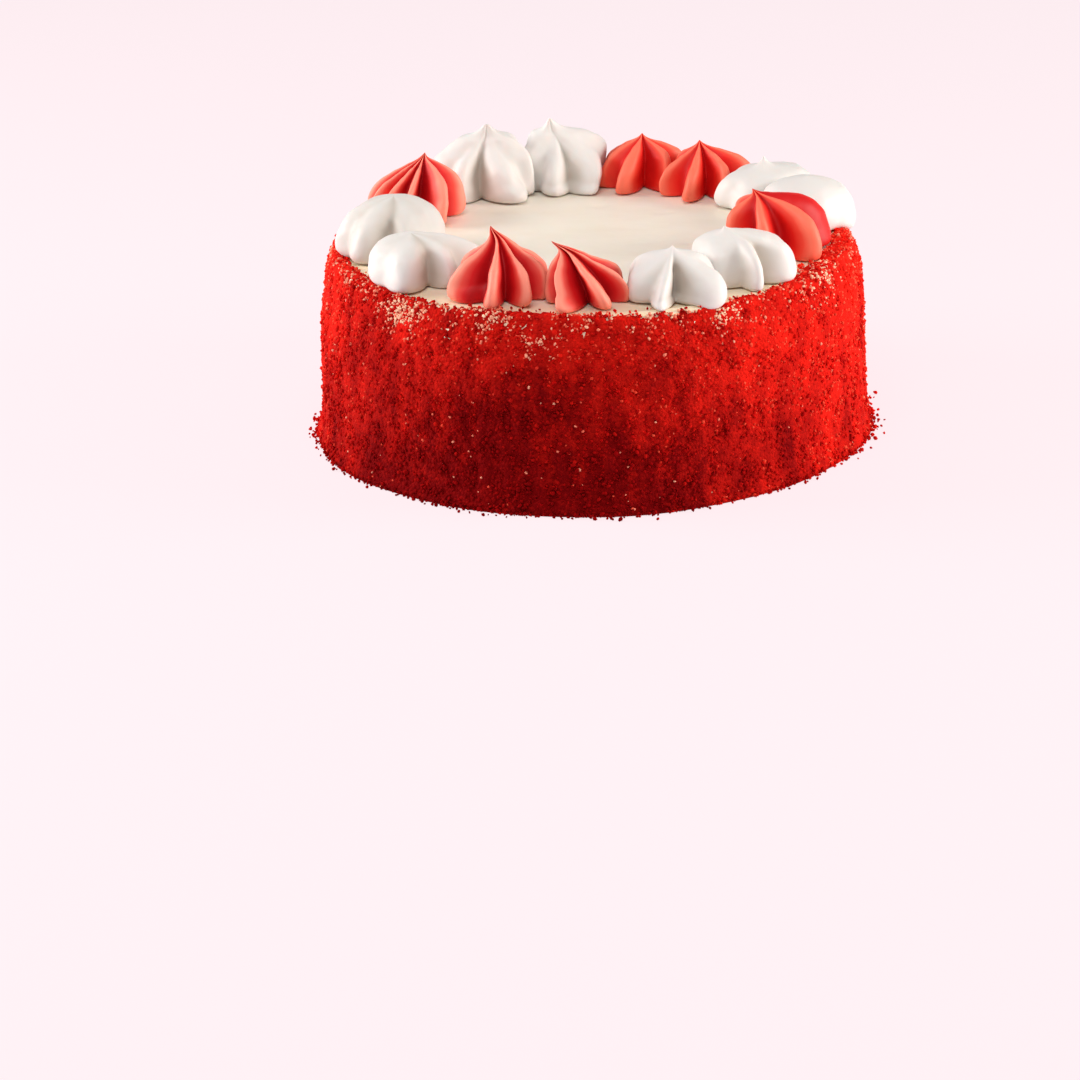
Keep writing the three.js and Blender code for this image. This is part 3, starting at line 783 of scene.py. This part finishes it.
pale = {
    "anywhere": 0.009,
    "rim": 0.4, "rimPlace": -1, "rimFade": 3,
    "clumps": (-0.5, 0.4),
    "clusters": [  # direction, distance in from the rim, spread, share of crumbs that are pale
        (-134, -5, 9, 1), (-113, -1, 7, 0.7), (-101, -9, 6, 0.6), (-84, -3, 6, 0.3), (-61, -3, 7, 1),
        (-33, -3, 8, 1), (-25, 3, 4, 0.8), (20, -4, 7, 0.6), (70, -3, 9, 0.8), (125, -5, 8, 0.7),
        (172, -3, 7, 0.6),
    ],
    "flatness": 1.6,                     # clusters are wider than high
    "rosyTone": 0.2, "creamyTone": 0.5,  # alone, and what a cluster adds
}
crumbShape = {"kinds": 8, "sides": (1.05, 0.86, 0.68), "jagged": 0.14}


def paleShare(points):
    inward = inFromRim(points)
    degrees = np.degrees(directionOf(points))
    share = pale["anywhere"] + pale["rim"] * np.exp(-np.abs(inward - pale["rimPlace"]) / pale["rimFade"])
    for direction, reach, spread, strength in pale["clusters"]:
        across = degreesApart(degrees, direction) * np.pi / 180 * cake["radius"]
        apart = across ** 2 + pale["flatness"] * (inward - reach) ** 2
        share += strength * np.exp(-apart / spread ** 2)
    return share


def crumbShapes():
    shapes = []
    for number in range(crumbShape["kinds"]):
        deselectAll()
        bpy.ops.mesh.primitive_ico_sphere_add(subdivisions=1, radius=0.5)
        pattern = bpy.context.active_object
        bpy.ops.object.mode_set(mode="EDIT")
        bpy.ops.mesh.select_all(action="SELECT")
        bpy.ops.transform.resize(value=crumbShape["sides"])
        bpy.ops.transform.vertex_random(offset=crumbShape["jagged"], seed=number)
        bpy.ops.object.mode_set(mode="OBJECT")
        corners = np.array([v.co for v in pattern.data.vertices])
        faces = np.array([f.vertices for f in pattern.data.polygons])
        shapes.append((corners, faces))
        bpy.ops.object.delete()
    return shapes


def randomTurns(random, count):
    q = random.normal(size=(count, 4))
    w, x, y, z = (q / np.linalg.norm(q, axis=1, keepdims=True)).T
    return np.stack([
        np.stack([1 - 2 * (y * y + z * z), 2 * (x * y - z * w), 2 * (x * z + y * w)], -1),
        np.stack([2 * (x * y + z * w), 1 - 2 * (x * x + z * z), 2 * (y * z - x * w)], -1),
        np.stack([2 * (x * z - y * w), 2 * (y * z + x * w), 1 - 2 * (x * x + y * y)], -1),
    ], 1)


def joinCrumbs(name, shapes, places, sizes, tones, random):
    count = len(places)
    choice = random.integers(len(shapes), size=count)
    corners = np.stack([shape[0] for shape in shapes])[choice]
    corners = np.einsum("nij,nkj->nki", randomTurns(random, count), corners)
    corners = corners * sizes[:, None, None] + places[:, None, :]
    low = corners[:, :, 2].min(axis=1)
    corners[:, :, 2] += np.maximum(-low, 0)[:, None]  # none goes through the floor
    perCrumb = corners.shape[1]
    faces = shapes[0][1][None] + perCrumb * np.arange(count)[:, None, None]
    mesh = bpy.data.meshes.new(name)
    mesh.vertices.add(count * perCrumb)
    mesh.vertices.foreach_set("co", (corners * mm).ravel())
    mesh.loops.add(faces.size)
    mesh.loops.foreach_set("vertex_index", faces.ravel())
    mesh.polygons.add(faces.size // 3)
    mesh.polygons.foreach_set("loop_start", np.arange(0, faces.size, 3))
    mesh.update(calc_edges=True)
    writeValues(mesh, "tone", np.repeat(tones, perCrumb))
    return addObject(name, mesh)


def surfacePoints(random, count):  # random places on the wall's outline, with their normals
    outline = np.array(wallOutline(scatter["outlineStep"]))
    steps = np.linalg.norm(np.diff(outline, axis=0), axis=1)
    along = np.concatenate([[0], np.cumsum(steps)])
    place = random.uniform(0, along[-1], count)
    reach = np.interp(place, along, outline[:, 0])
    height = np.interp(place, along, outline[:, 1])
    before, after = place - scatter["slopeReach"], place + scatter["slopeReach"]
    slopeR = np.interp(after, along, outline[:, 0]) - np.interp(before, along, outline[:, 0])
    slopeZ = np.interp(after, along, outline[:, 1]) - np.interp(before, along, outline[:, 1])
    length = np.maximum(np.hypot(slopeR, slopeZ), 1e-6)
    around = random.uniform(-np.pi, np.pi, count)
    flat = np.stack([np.cos(around), np.sin(around)], -1)
    points = np.column_stack([flat * reach[:, None], height])
    normals = np.column_stack([flat * (slopeZ / length)[:, None], -slopeR / length])
    return points, normals


def crumbChance(kind, points):  # how likely a place is to keep its crumb
    past = inFromRim(points) - raggedEdge(points)
    chance = 1 - smoothStep(*scatter["edgeFade"], past)
    chance = chance + scatter["strays"] * (1 - smoothStep(*scatter["strayFade"], past))
    clumps = grain(points, scatter["clumpSize"], kind["seed"])
    if "patchOrShade" not in kind:
        return chance * paleShare(points) * smoothStep(*pale["clumps"], clumps)
    liked = scatter["notChoosy"]
    # kinds with a patchOrShade follow the blotches and the painted shade
    if kind["patchOrShade"]:
        liked = 0.5 + 0.5 * np.clip(kind["patchOrShade"] * redBlotchesAndShade(points) * scatter["choosy"], -1, 1)
    return chance * (scatter["keep"] + scatter["clumping"] * clumps) * liked


def looseCrumbs(random, count):  # fallen round the foot, thinning outwards
    around = random.uniform(-np.pi, np.pi, count)
    reach = wallRadius(0) + scatter["looseGap"] + random.exponential(scatter["looseSpread"], count)
    height = np.full(count, scatter["looseHeight"])
    points = np.column_stack([reach * np.cos(around), reach * np.sin(around), height])
    return points[np.argsort(around)], np.tile((0.0, 0.0, 1.0), (count, 1))


def scatterCrumbs(name, kind, shapes):
    random = np.random.default_rng(kind["seed"])
    points, normals = surfacePoints(random, kind["count"] * kind.get("tries", scatter["tries"]))
    chance = crumbChance(kind, points)
    loose = kind.get("loose", 0)
    kept = np.flatnonzero(random.uniform(size=len(points)) < chance)[:kind["count"] - loose]
    points, normals = points[kept], normals[kept]
    if loose:
        fallen, upwards = looseCrumbs(random, loose)
        points = np.concatenate([points, fallen])
        normals = np.concatenate([normals, upwards])
    small, large = kind["size"]
    sizes = small + (large - small) * random.beta(*scatter["sizeCurve"], len(points))
    spread = scatter["liftSpread"]
    lift = scatter["lift"] + sizes * random.uniform(-spread, spread, len(points))
    places = points + normals * lift[:, None] + bodySwell(points)
    if "patchOrShade" in kind:
        # the crumbs' tones carry the wall's painted shade as well
        tones = 0.5 + 0.5 * redBlotchesAndShade(points)
    else:
        tones = pale["rosyTone"] + pale["creamyTone"] * np.clip(paleShare(points), 0, 1)
    tones = np.clip(tones + kind["mixed"] * random.uniform(-1, 1, len(points)), 0, 1)
    piece = joinCrumbs(name, shapes, places, sizes, tones, random)
    dress(piece, name, kind["slot"])
    print(name, len(places))


shapes = crumbShapes()
for kindName, kind in crumbKinds.items():
    scatterCrumbs(kindName, kind, shapes)


# Floor, light and camera

studio = {
    "floorSize": 12000,
    "floorColour": linear(84, 77, 80),
    "floorGlow": linear(254, 238, 242),
    "glowStrength": 0.9,
    "sky": (1.0, 0.975, 0.97, 1),
    "skyStrength": 0.3,
    "aimHeight": 40,  # every lamp points at the cake's axis at this height
    "lamps": [
        {"name": "left", "place": (-980, 80, 400), "size": 600, "power": 10.4,
         "colour": (1, 0.985, 0.97)},
        {"name": "right", "place": (1050, -150, 330), "size": 520, "power": 11.6,
         "colour": (1, 0.955, 0.9)},
        {"name": "top", "place": (-80, -560, 1150), "size": 700, "power": 6.4,
         "colour": (1, 0.985, 0.965)},
    ],
}
photoView = {"place": (0, -1273.9, 444.8), "yaw": -0.982, "down": 21.144, "roll": -1.776, "lens": 120.09}


def softLight(lamp):
    light = bpy.data.lights.new(lamp["name"], "AREA")
    light.size = lamp["size"] * mm
    light.energy = lamp["power"]
    light.color = lamp["colour"]
    holder = addObject(lamp["name"], light)
    place = Vector(lamp["place"]) * mm
    holder.location = place
    aim = Vector((0, 0, studio["aimHeight"] * mm)) - place
    holder.rotation_euler = aim.to_track_quat("-Z", "Y").to_euler()


def paleFloor():
    deselectAll()
    bpy.ops.mesh.primitive_plane_add(size=studio["floorSize"] * mm, location=(0, 0, 0))
    floor = bpy.context.active_object
    floor.name = "floor"
    finish, _, _, shader = newFinish("paleFloor")
    shader.inputs["Base Color"].default_value = studio["floorColour"]
    shader.inputs["Emission Color"].default_value = studio["floorGlow"]
    shader.inputs["Emission Strength"].default_value = studio["glowStrength"]
    shader.inputs["Roughness"].default_value = 0.85
    floor.data.materials.append(finish)


def paleSky():
    world = bpy.data.worlds.new("paleSky")
    world.use_nodes = True
    background = world.node_tree.nodes["Background"]
    background.inputs["Color"].default_value = studio["sky"]
    background.inputs["Strength"].default_value = studio["skyStrength"]
    bpy.context.scene.world = world
    bpy.context.scene.view_settings.view_transform = "Standard"


def placeCamera():
    yaw, down, roll = (math.radians(photoView[key]) for key in ("yaw", "down", "roll"))
    forward = Vector((math.sin(yaw) * math.cos(down), math.cos(yaw) * math.cos(down), -math.sin(down)))
    right = Vector((math.cos(yaw), -math.sin(yaw), 0))
    up = right.cross(forward)
    across = math.cos(roll) * right + math.sin(roll) * up
    upright = math.cos(roll) * up - math.sin(roll) * right
    camera = bpy.data.cameras.new("photoView")
    camera.sensor_width = 36
    camera.lens = photoView["lens"]
    holder = addObject("photoView", camera)
    turn = Matrix((across, upright, -forward)).transposed().to_4x4()
    holder.matrix_world = Matrix.Translation(Vector(photoView["place"]) * mm) @ turn
    bpy.context.scene.camera = holder


for lamp in studio["lamps"]:
    softLight(lamp)
paleFloor()
placeCamera()
paleSky()
print("studio ready")
